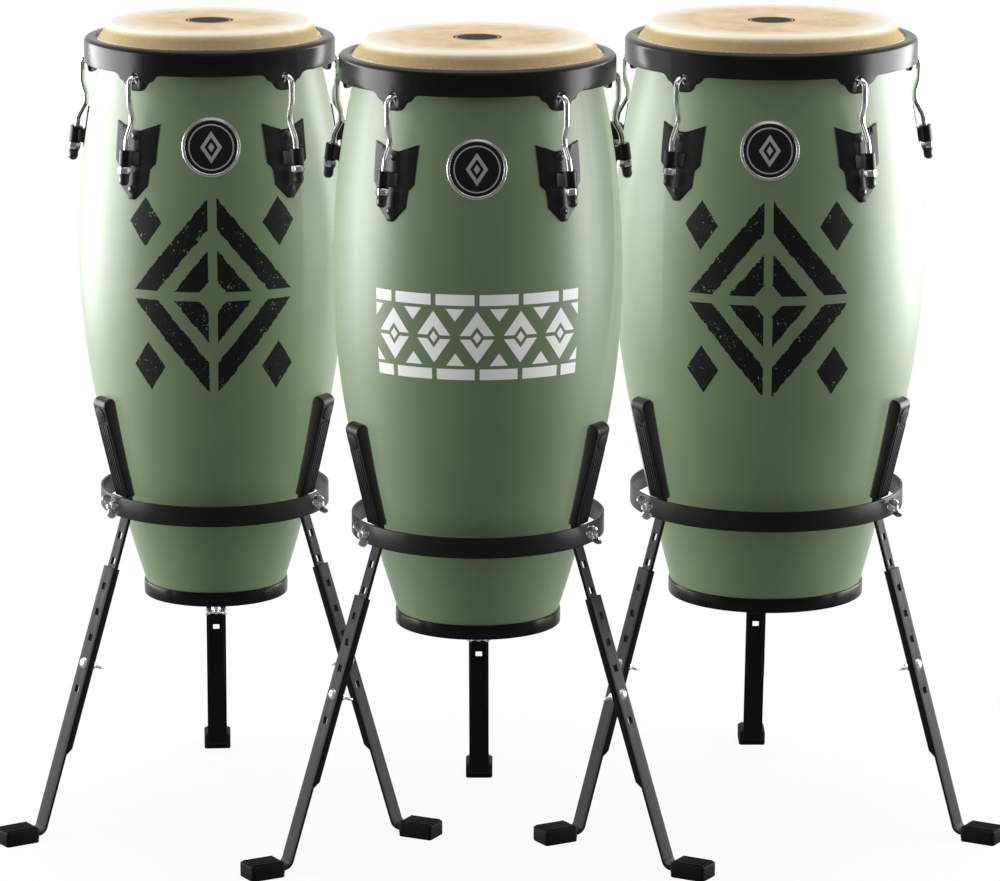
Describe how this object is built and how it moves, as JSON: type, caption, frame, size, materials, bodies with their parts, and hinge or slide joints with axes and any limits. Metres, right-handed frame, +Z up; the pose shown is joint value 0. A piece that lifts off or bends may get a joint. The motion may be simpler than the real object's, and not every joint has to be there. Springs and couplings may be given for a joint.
{
  "type": "conga drum set",
  "caption": "Tall barrel-shaped hand drums with tensioned skin heads, each lifting out of a basket stand with sliding legs and rubber feet.",
  "frame": {"origin": "on the floor, in the middle of the footprint of the rubber feet", "axes": "+X to the right along the row of drums as the player in front sees it, +Y to the back, +Z up; the drums face -Y"},
  "size_m": [1.2336, 0.6474, 0.99],
  "materials": {
    "shell_paint": "satin painted wood",
    "skin": "natural hide",
    "hoop_steel": "plain steel wire",
    "black_steel": "satin black powder coat",
    "chrome": "bright plated steel",
    "rubber": "moulded rubber"
  },
  "bodies": {
    "stands": {"left_basket_ring": "black_steel", "center_basket_ring": "black_steel", "right_basket_ring": "black_steel", "upper_legs": "black_steel", "cradle_pads": "rubber", "ring_fasteners": "chrome"},
    "left_drum": {"left_shell": "shell_paint", "left_bottom_ring": "rubber", "left_head": "skin", "left_flesh_hoop": "hoop_steel", "left_lug_plates": "black_steel", "left_lug_screws": "black_steel", "left_tuning_nuts": "chrome"},
    "left_rim_and_hooks": {"left_rim": "black_steel", "left_tension_hooks": "chrome"},
    "center_drum": {"center_shell": "shell_paint", "center_bottom_ring": "rubber", "center_head": "skin", "center_flesh_hoop": "hoop_steel", "center_lug_plates": "black_steel", "center_lug_screws": "black_steel", "center_tuning_nuts": "chrome"},
    "center_rim_and_hooks": {"center_rim": "black_steel", "center_tension_hooks": "chrome"},
    "right_drum": {"right_shell": "shell_paint", "right_bottom_ring": "rubber", "right_head": "skin", "right_flesh_hoop": "hoop_steel", "right_lug_plates": "black_steel", "right_lug_screws": "black_steel", "right_tuning_nuts": "chrome"},
    "right_rim_and_hooks": {"right_rim": "black_steel", "right_tension_hooks": "chrome"},
    "left_lower_leg_a": {"left_leg_a": "black_steel", "left_foot_a": "rubber", "left_leg_bolt_a": "chrome"},
    "left_lower_leg_b": {"left_leg_b": "black_steel", "left_foot_b": "rubber", "left_leg_bolt_b": "chrome"},
    "left_lower_leg_c": {"left_leg_c": "black_steel", "left_foot_c": "rubber", "left_leg_bolt_c": "chrome"},
    "center_lower_leg_a": {"center_leg_a": "black_steel", "center_foot_a": "rubber", "center_leg_bolt_a": "chrome"},
    "center_lower_leg_b": {"center_leg_b": "black_steel", "center_foot_b": "rubber", "center_leg_bolt_b": "chrome"},
    "center_lower_leg_c": {"center_leg_c": "black_steel", "center_foot_c": "rubber", "center_leg_bolt_c": "chrome"},
    "right_lower_leg_a": {"right_leg_a": "black_steel", "right_foot_a": "rubber", "right_leg_bolt_a": "chrome"},
    "right_lower_leg_b": {"right_leg_b": "black_steel", "right_foot_b": "rubber", "right_leg_bolt_b": "chrome"},
    "right_lower_leg_c": {"right_leg_c": "black_steel", "right_foot_c": "rubber", "right_leg_bolt_c": "chrome"}
  },
  "joints": [
    {"name": "left_drum_lift", "type": "slide", "parent": "stands", "child": "left_drum", "axis": [0, 0, 1], "range_m": [0, 0.3]},
    {"name": "left_rim_slack", "type": "slide", "parent": "left_drum", "child": "left_rim_and_hooks", "axis": [0, 0, 1], "range_m": [0, 0.006]},
    {"name": "left_leg_slide_a", "type": "slide", "parent": "stands", "child": "left_lower_leg_a", "axis": [0.258, 0.1701, 0.9511], "range_m": [0, 0.06]},
    {"name": "left_leg_slide_b", "type": "slide", "parent": "stands", "child": "left_lower_leg_b", "axis": [-0.2763, 0.1384, 0.9511], "range_m": [0, 0.06]},
    {"name": "left_leg_slide_c", "type": "slide", "parent": "stands", "child": "left_lower_leg_c", "axis": [0.0183, -0.3085, 0.9511], "range_m": [0, 0.06]},
    {"name": "center_drum_lift", "type": "slide", "parent": "stands", "child": "center_drum", "axis": [0, 0, 1], "range_m": [0, 0.3]},
    {"name": "center_rim_slack", "type": "slide", "parent": "center_drum", "child": "center_rim_and_hooks", "axis": [0, 0, 1], "range_m": [0, 0.006]},
    {"name": "center_leg_slide_a", "type": "slide", "parent": "stands", "child": "center_lower_leg_a", "axis": [0.2676, 0.1545, 0.9511], "range_m": [0, 0.06]},
    {"name": "center_leg_slide_b", "type": "slide", "parent": "stands", "child": "center_lower_leg_b", "axis": [-0.2676, 0.1545, 0.9511], "range_m": [0, 0.06]},
    {"name": "center_leg_slide_c", "type": "slide", "parent": "stands", "child": "center_lower_leg_c", "axis": [0, -0.309, 0.9511], "range_m": [0, 0.06]},
    {"name": "right_drum_lift", "type": "slide", "parent": "stands", "child": "right_drum", "axis": [0, 0, 1], "range_m": [0, 0.3]},
    {"name": "right_rim_slack", "type": "slide", "parent": "right_drum", "child": "right_rim_and_hooks", "axis": [0, 0, 1], "range_m": [0, 0.006]},
    {"name": "right_leg_slide_a", "type": "slide", "parent": "stands", "child": "right_lower_leg_a", "axis": [0.246, 0.142, 0.9588], "range_m": [0, 0.06]},
    {"name": "right_leg_slide_b", "type": "slide", "parent": "stands", "child": "right_lower_leg_b", "axis": [-0.246, 0.142, 0.9588], "range_m": [0, 0.06]},
    {"name": "right_leg_slide_c", "type": "slide", "parent": "stands", "child": "right_lower_leg_c", "axis": [0, -0.284, 0.9588], "range_m": [0, 0.06]}
  ]
}
